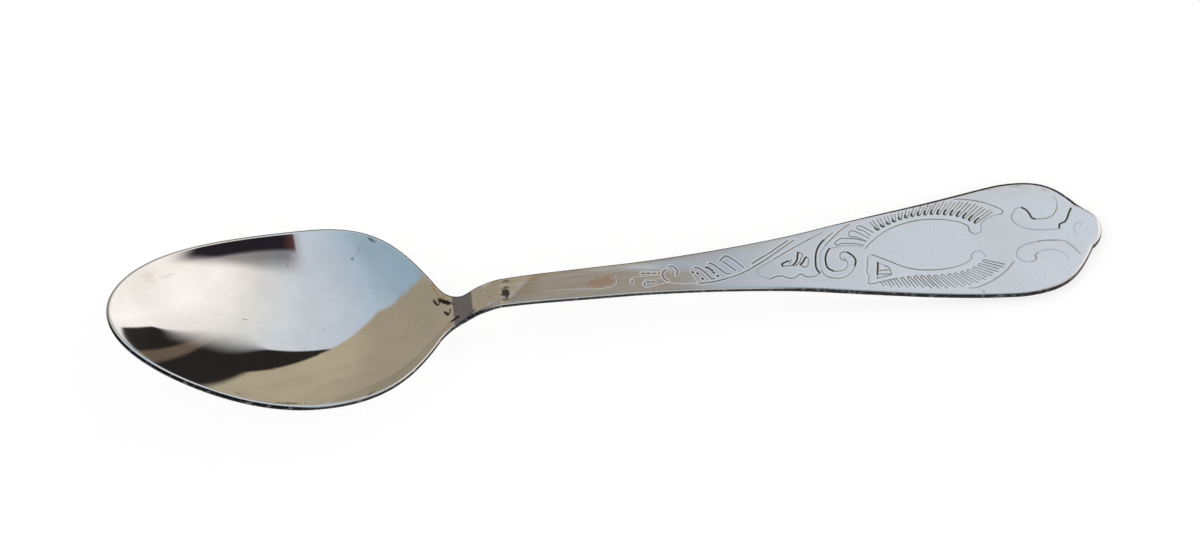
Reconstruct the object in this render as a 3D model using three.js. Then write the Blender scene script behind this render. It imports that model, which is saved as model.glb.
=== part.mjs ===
// Dessert spoon: one strip of polished metal, pressed into a bowl, a neck, a stem and a handle plate.
// The four sections are closed solids that meet face to face on square planes. Millimetres, +Z up.
// X runs along the spoon from the bowl to the handle, Y is zero on its middle line, and Z is zero on
// the table, which the spoon touches under the bowl and under the handle plate.
import * as THREE from "three";
import { mergeVertices } from "three/addons/utils/BufferGeometryUtils.js";

// Lengths of the sections, in order from the bowl tip to the handle tip
const BOWL_LENGTH = 62;
const NECK_LENGTH = 14;
const STEM_LENGTH = 40;
const PLATE_LENGTH = 64;

// Plan: full widths at the marks of the outline, and where the marks lie
const BOWL_WIDTH = 40;
const BOWL_WIDEST_FROM_TIP = 35.8;
const SHOULDER_WIDTH = 15.6;
const SHOULDER_BEFORE_HEEL = 4.9;
const NECK_WIDTH = 5.5;
const NECK_NARROW_PAST_HEEL = 1.6;
const STEM_WIDTH = 6.7;
const STEM_WIDTH_PAST_NECK = 16;
const FLARE_WIDTH = 13.7;
const FLARE_PAST_STEM = 12.2;
const PLATE_WIDTH = 25.4;
const PLATE_WIDEST_BEFORE_TIP = 16;
const LOBE_WIDTH = 8.6;
const LOBE_LENGTH = 2.3;

// Plan: headings of the slanted marks in degrees, and how far the curve holds to its heading there
const SHOULDER_HEADING = -56;
const STEM_HEADING = 1;
const FLARE_HEADING = 11;
const LOBE_HEADING_IN = -59;
const LOBE_HEADING_OUT = -30;
const NOSE_HOLD = 11.2;
const BOWL_FRONT_HOLD = 16.4;
const BOWL_BACK_HOLD = 11.5;
const SHOULDER_HOLD_IN = 9.2;
const SHOULDER_HOLD_OUT = 1.2;
const NECK_HOLD = 4;
const STEM_HOLD = 8;
const FLARE_HOLD = 11;
const PLATE_FRONT_HOLD = 4.2;
const PLATE_BACK_HOLD = 7.7;
const LOBE_HOLD_IN = 7;
const LOBE_HOLD_OUT = 0.3;
const LOBE_TIP_HOLD = 3;

// Side view: heights of the edge above the table, each from the one before it, and where they lie
const BOWL_DEPTH = 6;
const TIP_RISE = 10.1;
const HEEL_DROP = 4.85;
const NECK_RISE = 4.65;
const HEEL_BEND_BEFORE_PLANE = 1;
const CLIMB_LENGTH = 6.4;
const CREST_LENGTH = 7.4;
const TOUCH_DOWN_BEFORE_TIP = 28.8;
const HEEL_BEND_REACH = 2;
const CREST_BEND_REACH = 2.6;
const TOUCH_DOWN_REACH = 6;

// Side view: headings of the rim and of the keel, the bowl's middle line, and how far they hold
const RIM_HEADING_TIP = -15;
const RIM_HEADING_MIDDLE = -4.6;
const RIM_HEADING_HEEL = -17;
const RIM_HOLD_TIP = 13.8;
const RIM_HOLD_MIDDLE = 13;
const RIM_HOLD_HEEL = 9;
const KEEL_LOWEST_FROM_TIP = 47;
const KEEL_HEADING_TIP = -31;
const KEEL_HOLD_TIP = 12;
const KEEL_HOLD_FRONT = 18;
const KEEL_HOLD_BACK = 10;
const KEEL_HOLD_CLIMB = 5;
const KEEL_HOLD_CREST = 2.5;

// Metal
const BOWL_WALL = 1.2;
const BOWL_RIM = 1.2;
const NECK_THICKNESS = 3;
const NECK_EDGE = 1.8;
const NECK_CROWN = 0.35;
const PLATE_EDGE = 1.75;
const PLATE_CROWN = 0.2;
const REST_FLAT_SAGITTA = 0.08;
const SECTION_FULLNESS = 2.2;

// Facets: steps from the middle line to the edge, and steps along each stretch
const BOWL_STEPS_ACROSS = 10;
const SHANK_STEPS_ACROSS = 4;
const PLATE_STEPS_ACROSS = 6;
const NOSE_STEPS = 14;
const BOWL_BACK_STEPS = 13;
const NECK_STEPS = 9;
const STEM_STEPS = 10;
const PLATE_STEPS = 12;
const PLATE_END_STEPS = 14;
const LOBE_STEPS = 7;
const CURVE_SAMPLES = 400;

const HEEL = BOWL_LENGTH;
const STEM_START = HEEL + NECK_LENGTH;
const PLATE_START = STEM_START + STEM_LENGTH;
const LENGTH = PLATE_START + PLATE_LENGTH;
const PLATE_WIDEST = LENGTH - PLATE_WIDEST_BEFORE_TIP;
const LOBE_START = LENGTH - LOBE_LENGTH;
const SHOULDER = HEEL - SHOULDER_BEFORE_HEEL;
const HEEL_BEND = HEEL - HEEL_BEND_BEFORE_PLANE;
const CREST_BEND = HEEL_BEND + CLIMB_LENGTH;
const CREST_START = CREST_BEND + CREST_BEND_REACH;
const STEM_BEND = CREST_BEND + CREST_LENGTH;
const TOUCH_DOWN = LENGTH - TOUCH_DOWN_BEFORE_TIP;

const RIM_HEIGHT = BOWL_WALL + BOWL_DEPTH;
const TIP_HEIGHT = RIM_HEIGHT + TIP_RISE;
const HEEL_HEIGHT = RIM_HEIGHT - HEEL_DROP;
const CREST_HEIGHT = HEEL_HEIGHT + NECK_RISE;

const LEVEL = 0;
const UPRIGHT = 90;

// A place on a curve, with the heading that the curve holds to there, in and out
function mark(at, value, headingIn, holdIn, headingOut, holdOut) {
  const place = new THREE.Vector2(at, value);
  const along = (heading, length) => {
    const angle = THREE.MathUtils.degToRad(heading);
    return new THREE.Vector2(Math.cos(angle), Math.sin(angle)).multiplyScalar(length).add(place);
  };
  return { place, arriving: along(headingIn, -holdIn), leaving: along(headingOut, holdOut) };
}

function smoothMark(at, value, heading, holdIn, holdOut = holdIn) {
  return mark(at, value, heading, holdIn, heading, holdOut);
}

// The stretches between marks, each one Bezier curve
function stretchesBetween(marks) {
  return marks.slice(1).map((next, i) => {
    const last = marks[i];
    return new THREE.CubicBezierCurve(last.place, last.leaving, next.arriving, next.place);
  });
}

// Reads a value off stretches whose first coordinate only grows
function readingOf(stretches) {
  const samples = stretches.flatMap((curve) => curve.getPoints(CURVE_SAMPLES));
  return (at) => {
    let low = 0;
    let high = samples.length - 1;
    while (high - low > 1) {
      const middle = (low + high) >> 1;
      if (samples[middle].x <= at) low = middle;
      else high = middle;
    }
    const span = samples[high].x - samples[low].x;
    const share = span > 0 ? THREE.MathUtils.clamp((at - samples[low].x) / span, 0, 1) : 1;
    return THREE.MathUtils.lerp(samples[low].y, samples[high].y, share);
  };
}

// Half outline, from the bowl tip to the handle tip
const outline = stretchesBetween([
  mark(0, 0, UPRIGHT, 0, UPRIGHT, NOSE_HOLD),
  smoothMark(BOWL_WIDEST_FROM_TIP, BOWL_WIDTH / 2, LEVEL, BOWL_FRONT_HOLD, BOWL_BACK_HOLD),
  smoothMark(SHOULDER, SHOULDER_WIDTH / 2, SHOULDER_HEADING, SHOULDER_HOLD_IN, SHOULDER_HOLD_OUT),
  smoothMark(HEEL + NECK_NARROW_PAST_HEEL, NECK_WIDTH / 2, LEVEL, NECK_HOLD),
  smoothMark(STEM_START + STEM_WIDTH_PAST_NECK, STEM_WIDTH / 2, STEM_HEADING, STEM_HOLD),
  smoothMark(PLATE_START + FLARE_PAST_STEM, FLARE_WIDTH / 2, FLARE_HEADING, FLARE_HOLD),
  smoothMark(PLATE_WIDEST, PLATE_WIDTH / 2, LEVEL, PLATE_FRONT_HOLD, PLATE_BACK_HOLD),
  mark(LOBE_START, LOBE_WIDTH / 2, LOBE_HEADING_IN, LOBE_HOLD_IN, LOBE_HEADING_OUT, LOBE_HOLD_OUT),
  mark(LENGTH, 0, -UPRIGHT, LOBE_TIP_HOLD, -UPRIGHT, 0),
]);
const [nose, , , , , , plateEnd, lobe] = outline;
const halfWidth = readingOf(outline);

// Height of the edge: the rim dips from the tip to the heel, the neck climbs, the stem runs down flat
const heading = (from, to) =>
  THREE.MathUtils.radToDeg(Math.atan2(to.y - from.y, to.x - from.x));
const heelBend = new THREE.Vector2(HEEL_BEND, HEEL_HEIGHT);
const crestBend = new THREE.Vector2(CREST_BEND, CREST_HEIGHT);
const stemBend = new THREE.Vector2(STEM_BEND, CREST_HEIGHT);
const touchDown = new THREE.Vector2(TOUCH_DOWN, PLATE_EDGE);

// A rounded bend: the curve leaves one line and joins the next within a reach on each side of the corner
function bend(corner, reach, headingIn, headingOut, holdIn = reach / 2) {
  const side = (angle, sign, hold) => {
    const slope = Math.tan(THREE.MathUtils.degToRad(angle));
    const place = [corner.x + sign * reach, corner.y + sign * reach * slope];
    return smoothMark(...place, angle, hold, reach / 2);
  };
  return [side(headingIn, -1, holdIn), side(headingOut, 1, reach / 2)];
}

const climb = heading(heelBend, crestBend);
const descent = heading(stemBend, touchDown);
const edgeHeight = readingOf(
  stretchesBetween([
    smoothMark(0, TIP_HEIGHT, RIM_HEADING_TIP, RIM_HOLD_TIP),
    smoothMark(BOWL_WIDEST_FROM_TIP, RIM_HEIGHT, RIM_HEADING_MIDDLE, RIM_HOLD_MIDDLE),
    ...bend(heelBend, HEEL_BEND_REACH, RIM_HEADING_HEEL, climb, RIM_HOLD_HEEL),
    ...bend(crestBend, CREST_BEND_REACH, climb, LEVEL),
    ...bend(stemBend, CREST_BEND_REACH, LEVEL, descent),
    ...bend(touchDown, TOUCH_DOWN_REACH, descent, LEVEL),
    smoothMark(LENGTH, PLATE_EDGE, LEVEL, TOUCH_DOWN_REACH),
  ]),
);

// A value that eases from mark to mark along the spoon
function easing(marks) {
  return (at) => {
    let value = marks[0][1];
    for (let i = 1; i < marks.length; i++) {
      const ease = THREE.MathUtils.smoothstep(at, marks[i - 1][0], marks[i][0]);
      value = THREE.MathUtils.lerp(value, marks[i][1], ease);
    }
    return value;
  };
}

const crown = easing([
  [CREST_START, NECK_CROWN],
  [TOUCH_DOWN, PLATE_CROWN],
]);
const edgeThickness = easing([
  [SHOULDER, BOWL_RIM],
  [CREST_BEND, NECK_EDGE],
  [TOUCH_DOWN, PLATE_EDGE],
]);
const middleThickness = easing([
  [SHOULDER, BOWL_WALL],
  [CREST_BEND, NECK_THICKNESS],
  [TOUCH_DOWN, PLATE_EDGE + PLATE_CROWN],
]);

// Height of the upper face on the middle line: the bowl's keel, then the crowned shank and plate
const keelLow = BOWL_WALL - REST_FLAT_SAGITTA;
const halfClimb = heelBend.clone().lerp(crestBend, 0.5);
const keel = readingOf(
  stretchesBetween([
    smoothMark(0, TIP_HEIGHT, KEEL_HEADING_TIP, KEEL_HOLD_TIP),
    smoothMark(KEEL_LOWEST_FROM_TIP, keelLow, LEVEL, KEEL_HOLD_FRONT, KEEL_HOLD_BACK),
    smoothMark(halfClimb.x, halfClimb.y + NECK_CROWN / 2, climb, KEEL_HOLD_CLIMB, KEEL_HOLD_CREST),
    smoothMark(CREST_START, CREST_HEIGHT + NECK_CROWN, LEVEL, KEEL_HOLD_CREST),
  ]),
);
const middleHeight = (at) => (at < CREST_START ? keel(at) : edgeHeight(at) + crown(at));

// The upper and lower face at a place, seen from above; the table wears the bowl's belly flat
function facesAt(at, y) {
  const half = halfWidth(at);
  const across = half > 0 ? Math.min(Math.abs(y) / half, 1) : 1;
  const inward = 1 - across ** SECTION_FULLNESS;
  const edge = edgeHeight(at);
  const under = edge - edgeThickness(at);
  const top = THREE.MathUtils.lerp(edge, middleHeight(at), inward);
  const bottom = THREE.MathUtils.lerp(under, middleHeight(at) - middleThickness(at), inward);
  return { top, bottom: Math.max(bottom, 0) };
}

// A rib of the surface: points from the middle line out to a point on the outline
function rib(spineAt, edgeAt, edgeY, steps) {
  return Array.from({ length: steps + 1 }, (_, k) => {
    const share = k / steps;
    const at = THREE.MathUtils.lerp(spineAt, edgeAt, share);
    const y = edgeY * share;
    const { top, bottom } = facesAt(at, y);
    const x = at - LENGTH / 2;
    return { top: new THREE.Vector3(x, y, top), bottom: new THREE.Vector3(x, y, bottom) };
  });
}

// Square ribs on one side of the middle line between two places
function squareRibs(from, to, count, side, steps) {
  return Array.from({ length: count + 1 }, (_, i) => {
    const at = THREE.MathUtils.lerp(from, to, i / count);
    return rib(at, at, side * halfWidth(at), steps);
  });
}

// Ribs that fan from a pole on the middle line out to points of a stretch of the outline
function fanRibs(pole, points, side, steps) {
  return points.map((point) => rib(pole, point.x, side * point.y, steps));
}

// A closed solid: runs of ribs that go counter-clockwise round the outline, seen from above, and
// half caps on the square planes, each facing along X
function solidFrom(runs, caps) {
  const corners = [];
  const triangle = (...points) => {
    const apart = points.every((point, i) => !point.equals(points[(i + 1) % points.length]));
    if (apart) corners.push(...points);
  };
  const quad = (a, b, c, d) => {
    triangle(a, b, c);
    triangle(a, c, d);
  };
  for (const ribs of runs) {
    for (let i = 1; i < ribs.length; i++) {
      const last = ribs[i - 1];
      const next = ribs[i];
      for (let k = 1; k < last.length; k++) {
        quad(last[k - 1].top, last[k].top, next[k].top, next[k - 1].top);
        quad(last[k - 1].bottom, next[k - 1].bottom, next[k].bottom, last[k].bottom);
      }
      const start = last.at(-1);
      const end = next.at(-1);
      quad(start.top, start.bottom, end.bottom, end.top);
    }
  }
  for (const [ribs, facing] of caps) {
    const outwards = ribs.at(-1).top.y * facing > 0;
    for (let k = 1; k < ribs.length; k++) {
      const left = outwards ? ribs[k - 1] : ribs[k];
      const right = outwards ? ribs[k] : ribs[k - 1];
      quad(left.top, left.bottom, right.bottom, right.top);
    }
  }
  const geometry = mergeVertices(new THREE.BufferGeometry().setFromPoints(corners));
  geometry.computeVertexNormals();
  return geometry;
}

const FAR = 1;
const NEAR = -1;
const TO_HANDLE = 1;
const TO_BOWL = -1;

function bowlGeometry() {
  const steps = BOWL_STEPS_ACROSS;
  const points = nose.getPoints(NOSE_STEPS);
  const fan = (side) => fanRibs(BOWL_WIDEST_FROM_TIP, points, side, steps);
  const back = (side) => squareRibs(BOWL_WIDEST_FROM_TIP, HEEL, BOWL_BACK_STEPS, side, steps);
  const run = [
    ...back(FAR).reverse(),
    ...fan(FAR).slice(0, -1).reverse(),
    ...fan(NEAR).slice(1, -1),
    ...back(NEAR),
  ];
  return solidFrom(
    [run],
    [
      [run[0], TO_HANDLE],
      [run.at(-1), TO_HANDLE],
    ],
  );
}

function shankGeometry(from, to, count) {
  const far = squareRibs(to, from, count, FAR, SHANK_STEPS_ACROSS);
  const near = squareRibs(from, to, count, NEAR, SHANK_STEPS_ACROSS);
  return solidFrom(
    [far, near],
    [
      [far[0], TO_HANDLE],
      [near.at(-1), TO_HANDLE],
      [far.at(-1), TO_BOWL],
      [near[0], TO_BOWL],
    ],
  );
}

function plateGeometry() {
  const steps = PLATE_STEPS_ACROSS;
  const points = [...plateEnd.getPoints(PLATE_END_STEPS), ...lobe.getPoints(LOBE_STEPS).slice(1)];
  const fan = (side) => fanRibs(PLATE_WIDEST, points, side, steps);
  const front = (side) => squareRibs(PLATE_START, PLATE_WIDEST, PLATE_STEPS, side, steps);
  const run = [
    ...front(NEAR),
    ...fan(NEAR).slice(1),
    ...fan(FAR).slice(1, -1).reverse(),
    ...front(FAR).reverse(),
  ];
  return solidFrom(
    [run],
    [
      [run[0], TO_BOWL],
      [run.at(-1), TO_BOWL],
    ],
  );
}

function section(name, geometry, finish) {
  const material = new THREE.MeshStandardMaterial({ metalness: 1, ...finish });
  const mesh = new THREE.Mesh(geometry, material);
  mesh.name = name;
  return mesh;
}

const MIRROR_POLISH = { color: 0xd2d0cb, roughness: 0.08 };
const WARM_POLISH = { color: 0xbfb2a4, roughness: 0.22 };
const SATIN_POLISH = { color: 0xc8ccd0, roughness: 0.28 };

const spoon = new THREE.Group();
spoon.add(
  section("bowl", bowlGeometry(), MIRROR_POLISH),
  section("neck", shankGeometry(HEEL, STEM_START, NECK_STEPS), WARM_POLISH),
  section("stem", shankGeometry(STEM_START, PLATE_START, STEM_STEPS), WARM_POLISH),
  section("handle_plate", plateGeometry(), SATIN_POLISH),
);

export default spoon;
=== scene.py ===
import math

import bmesh
import bpy
import numpy as np
from mathutils import Matrix, Vector


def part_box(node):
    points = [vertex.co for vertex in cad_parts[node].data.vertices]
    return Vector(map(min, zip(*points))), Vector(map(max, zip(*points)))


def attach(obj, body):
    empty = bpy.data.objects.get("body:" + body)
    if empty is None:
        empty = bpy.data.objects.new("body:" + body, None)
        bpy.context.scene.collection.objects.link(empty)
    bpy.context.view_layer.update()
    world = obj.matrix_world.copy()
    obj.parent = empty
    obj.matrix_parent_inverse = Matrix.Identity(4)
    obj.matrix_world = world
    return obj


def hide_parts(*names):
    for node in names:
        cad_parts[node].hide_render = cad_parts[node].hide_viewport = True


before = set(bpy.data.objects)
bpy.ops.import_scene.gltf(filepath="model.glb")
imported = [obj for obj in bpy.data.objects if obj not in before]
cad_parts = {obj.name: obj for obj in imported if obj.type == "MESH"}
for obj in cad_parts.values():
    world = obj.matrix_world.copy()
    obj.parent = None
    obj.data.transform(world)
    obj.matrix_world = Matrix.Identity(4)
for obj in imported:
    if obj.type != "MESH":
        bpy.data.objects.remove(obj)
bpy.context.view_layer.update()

MM = 0.001
BODY = "root"

# Sizes that the frame gives
bowl_low, bowl_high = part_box("bowl")
_, neck_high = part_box("neck")
_, stem_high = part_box("stem")
_, plate_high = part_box("handle_plate")
TIP_X = bowl_low.x / MM
HEEL = bowl_high.x / MM - TIP_X
STEM_START = neck_high.x / MM - TIP_X
PLATE_START = stem_high.x / MM - TIP_X
LENGTH = plate_high.x / MM - TIP_X
BOWL_HALF = bowl_high.y / MM
PLATE_HALF = plate_high.y / MM
TIP_HEIGHT = bowl_high.z / MM

# Places along the spoon
NEAR_TIP_END = 2.5
FAR_TIP_START = 3
FAR_TIP_END = 10
NOSE_END = 20
BOWL_WIDEST = 35.8
SHOULDER = HEEL - 4.9
NECK_NARROW = HEEL + 1.6
CROWN_END = STEM_START + 6
STEM_SLIM = STEM_START + 16
FLARE = PLATE_START + 12.2
PLATE_WIDEST = LENGTH - 16
PLATE_SHOULDER = PLATE_WIDEST - 10
LOBE_START = LENGTH - 2.3
LOBE_CORNER = LOBE_START - 1
LOBE_SOFT = 0.5
HEEL_BEND = HEEL - 1
CREST_BEND = HEEL_BEND + 6.4
CREST_REACH = 2.6
CREST_START = CREST_BEND + CREST_REACH
STEM_BEND = CREST_BEND + 7.4
TOUCH_DOWN = LENGTH - 28.8
KEEL_LOWEST = 47

# Half widths, heights and metal
SHOULDER_HALF = 7.8
NECK_HALF = 2.75
STEM_HALF = 3.35
FLARE_HALF = 6.85
LOBE_HALF = 4.3
BOWL_WALL = 1.2
RIM_HEIGHT = BOWL_WALL + 6
HEEL_HEIGHT = RIM_HEIGHT - 4.85
CREST_HEIGHT = HEEL_HEIGHT + 4.65
REST_FLAT_SAGITTA = 0.08
NECK_THICKNESS = 3
NECK_EDGE = 1.8
NECK_CROWN = 0.12
PLATE_EDGE = 1.75
HANDLE_CROWN = 0.07

# Edges: the bowl's ground rim, and the rounding above and below the cut edge
RIM_FLAT = 0.22
SHOULDER_FLAT = 0.09
SHANK_FLAT = 0.03
RIM_ROUND = 0.4
SHOULDER_ROUND = 0.22
SHANK_ROUND = 0.4
SHANK_NEAR_ROUND = 0.5
PLATE_FAR_ROUND = 0.95
RIM_ROUND_BELOW = 0.55
SHOULDER_ROUND_BELOW = 0.75
SHANK_ROUND_BELOW = 0.8
INNER_CORNER_SHARE = 0.994
BOWL_FULLNESS = 2.05
SHANK_FULLNESS = 4.5

# Mesh: spacing along the outline in millimetres, and steps across
BOWL_SPACING = 0.5
NECK_SPACING = 0.25
STAMPED_SPACING = 0.17
BOWL_STEPS = 44
NECK_STEPS = 24
STEM_STEPS = 40
PLATE_STEPS = 78
UNDERSIDE_STEPS = 10
ROUND_STEPS = 6
CURVE_SAMPLES = 600
SLOPE_STEP = 0.05
LEAST_HALF = 1e-6
MERGE_DISTANCE = 1e-8

FAR = 1
NEAR = -1
SHARES = ("cut_edge", "upper_face")


# Curves of the form

def mark(at, value, heading, hold_in, hold_out=None, heading_out=None):
    """A place on a curve with the handles that hold the curve to its heading there."""
    place = np.array([at, value], float)

    def along(degrees, length):
        angle = math.radians(degrees)
        return place + length * np.array([math.cos(angle), math.sin(angle)])

    leaving = heading if heading_out is None else heading_out
    reach = hold_in if hold_out is None else hold_out
    return along(heading, -hold_in), place, along(leaving, reach)


def stretches(marks):
    """The Bezier stretches between marks, each sampled to points."""
    t = np.linspace(0, 1, CURVE_SAMPLES)[:, None]
    runs = []
    for last, following in zip(marks, marks[1:]):
        start, leave = last[1], last[2]
        arrive, end = following[0], following[1]
        runs.append(
            (1 - t) ** 3 * start
            + 3 * (1 - t) ** 2 * t * leave
            + 3 * (1 - t) * t**2 * arrive
            + t**3 * end
        )
    return runs


def reading(runs):
    """Reads the value off sampled stretches whose first coordinate only grows."""
    points = np.concatenate(runs)
    return lambda at: np.interp(at, points[:, 0], points[:, 1])


def bend(corner, reach, heading_in, heading_out, hold_in=None):
    """Two marks that round a corner between two straight lines."""
    hold = reach / 2
    marks = []
    for sign, heading, arriving in ((-1, heading_in, hold_in or hold), (1, heading_out, hold)):
        rise = sign * reach * math.tan(math.radians(heading))
        marks.append(mark(corner[0] + sign * reach, corner[1] + rise, heading, arriving, hold))
    return marks


def heading_between(start, end):
    return math.degrees(math.atan2(end[1] - start[1], end[0] - start[0]))


def easing(*marks):
    """A value that eases from mark to mark along the spoon."""

    def value_at(at):
        value = np.full_like(np.asarray(at, float), marks[0][1])
        for (start, _), (end, target) in zip(marks, marks[1:]):
            t = np.clip((at - start) / (end - start), 0, 1)
            value += (target - value) * t * t * (3 - 2 * t)
        return value

    return value_at


LEVEL = 0
UPRIGHT = 90

outline = stretches([
    mark(0, 0, UPRIGHT, 0, 11.2),
    mark(BOWL_WIDEST, BOWL_HALF, LEVEL, 16.4, 11.5),
    mark(SHOULDER, SHOULDER_HALF, -56, 9.2, 1.2),
    mark(NECK_NARROW, NECK_HALF, LEVEL, 4),
    mark(STEM_SLIM, STEM_HALF, 1, 8),
    mark(FLARE, FLARE_HALF, 11, 11),
    mark(PLATE_WIDEST, PLATE_HALF, LEVEL, 4.2, 7.7),
    mark(LOBE_START, LOBE_HALF, -59, 7, 0.3, heading_out=-30),
    mark(LENGTH, 0, -UPRIGHT, 3),
])
half_width = reading(outline)
nose = outline[0]
plate_end = np.concatenate([outline[6], outline[7][1:]])

heel_bend = (HEEL_BEND, HEEL_HEIGHT)
crest_bend = (CREST_BEND, CREST_HEIGHT)
stem_bend = (STEM_BEND, CREST_HEIGHT)
touch_down = (TOUCH_DOWN, PLATE_EDGE)
climb = heading_between(heel_bend, crest_bend)
descent = heading_between(stem_bend, touch_down)
edge_height = reading(stretches([
    mark(0, TIP_HEIGHT, -15, 13.8),
    mark(BOWL_WIDEST, RIM_HEIGHT, -4.6, 13),
    *bend(heel_bend, 2, -17, climb, hold_in=9),
    *bend(crest_bend, CREST_REACH, climb, LEVEL),
    *bend(stem_bend, CREST_REACH, LEVEL, descent),
    *bend(touch_down, 6, descent, LEVEL),
    mark(LENGTH, PLATE_EDGE, LEVEL, 6),
]))
keel = reading(stretches([
    mark(0, TIP_HEIGHT, -31, 12),
    mark(KEEL_LOWEST, BOWL_WALL - REST_FLAT_SAGITTA, LEVEL, 18, 10),
    mark((HEEL_BEND + CREST_BEND) / 2, (HEEL_HEIGHT + CREST_HEIGHT + NECK_CROWN) / 2, climb, 5, 2.5),
    mark(CREST_START, CREST_HEIGHT + NECK_CROWN, LEVEL, 2.5),
]))
crown = easing((CREST_START, NECK_CROWN), (CROWN_END, HANDLE_CROWN))
edge_thickness = easing((SHOULDER, BOWL_WALL), (CREST_BEND, NECK_EDGE), (TOUCH_DOWN, PLATE_EDGE))
middle_thickness = easing(
    (SHOULDER, BOWL_WALL),
    (CREST_BEND, NECK_THICKNESS),
    (TOUCH_DOWN, PLATE_EDGE + HANDLE_CROWN),
)
fullness = easing((SHOULDER, BOWL_FULLNESS), (CREST_START, SHANK_FULLNESS))
rim_flat = easing((BOWL_WIDEST, RIM_FLAT), (SHOULDER, SHOULDER_FLAT), (HEEL, SHANK_FLAT))
near_round = easing(
    (BOWL_WIDEST, RIM_ROUND),
    (SHOULDER, SHOULDER_ROUND),
    (CREST_BEND, SHANK_NEAR_ROUND),
    (PLATE_START, SHANK_NEAR_ROUND),
    (FLARE, SHANK_ROUND),
)
far_round = easing(
    (SHOULDER, RIM_ROUND),
    (CREST_BEND, SHANK_ROUND),
    (FLARE, SHANK_ROUND),
    (PLATE_SHOULDER, PLATE_FAR_ROUND),
    (LOBE_CORNER, PLATE_FAR_ROUND),
    (LOBE_START, SHANK_ROUND),
)
round_below = easing(
    (BOWL_WIDEST, RIM_ROUND_BELOW),
    (SHOULDER, SHOULDER_ROUND_BELOW),
    (CREST_BEND, SHANK_ROUND_BELOW),
)
# How soon the painted shade on the cut edge begins as the rounding turns down, and how dark it gets, on
# each side
SHADE_SOON = 3.0
SHADE_ON_HEEL = 0.6
SHADE_LATE = 0.45
SHADE_LATEST = 0.34
TIP_DARKNESS = 0.36
near_shade = easing(
    (NOSE_END, SHADE_SOON),
    (BOWL_WIDEST, SHADE_LATE),
    (SHOULDER, SHADE_ON_HEEL),
    (HEEL, SHADE_ON_HEEL),
    (CREST_START, SHADE_LATEST),
    (PLATE_START, SHADE_LATEST),
    (FLARE, SHADE_LATE),
)
far_shade = easing((LOBE_START - LOBE_SOFT, SHADE_SOON), (LOBE_START + LOBE_SOFT, SHADE_LATE))
near_dark = easing((0, TIP_DARKNESS), (NEAR_TIP_END, 1))
far_dark = easing((FAR_TIP_START, TIP_DARKNESS), (FAR_TIP_END, 1))


def middle_height(at):
    return np.where(at < CREST_START, keel(at), edge_height(at) + crown(at))


def inward(at, across, power):
    half = np.maximum(half_width(at), LEAST_HALF)
    return 1 - np.minimum(np.abs(across) / half, 1) ** power


def upper_face(at, across):
    edge = edge_height(at)
    return edge + (middle_height(at) - edge) * inward(at, across, fullness(at))


def lower_face(at, across):
    edge = edge_height(at) - edge_thickness(at)
    middle = middle_height(at) - middle_thickness(at)
    return np.maximum(edge + (middle - edge) * inward(at, across, BOWL_FULLNESS), 0)


# Meshes of the sections

def placed(name, data):
    """A new object in the scene."""
    piece = bpy.data.objects.new(name, data)
    bpy.context.scene.collection.objects.link(piece)
    return piece


def evenly(points, spacing):
    """Points at an even spacing along a polyline."""
    steps = np.hypot(*np.diff(points, axis=0).T)
    travel = np.concatenate([[0], np.cumsum(steps)])
    wanted = np.linspace(0, travel[-1], max(2, round(travel[-1] / spacing) + 1))
    return np.stack([np.interp(wanted, travel, points[:, k]) for k in (0, 1)], -1)


def square_ribs(start, end, spacing, side):
    """Ribs square to the middle line: spine place, edge point and how much the outline slants there."""
    at = np.linspace(start, end, round(abs(end - start) / spacing) + 1)
    slope = (half_width(at + SLOPE_STEP) - half_width(at - SLOPE_STEP)) / (2 * SLOPE_STEP)
    return np.stack([at, at, side * half_width(at), np.hypot(1, slope)], -1)


def fan_ribs(pole, points, spacing, side):
    """Ribs that fan from a pole on the middle line out to a stretch of the outline."""
    edge = evenly(points, spacing)
    tangent = np.gradient(edge, axis=0)
    tangent /= np.linalg.norm(tangent, axis=1)[:, None]
    ray = edge - [pole, 0]
    ray /= np.linalg.norm(ray, axis=1)[:, None]
    square = np.abs(ray[:, 0] * tangent[:, 1] - ray[:, 1] * tangent[:, 0])
    return np.stack([np.full(len(edge), pole), edge[:, 0], side * edge[:, 1], 1 / square], -1)


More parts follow.
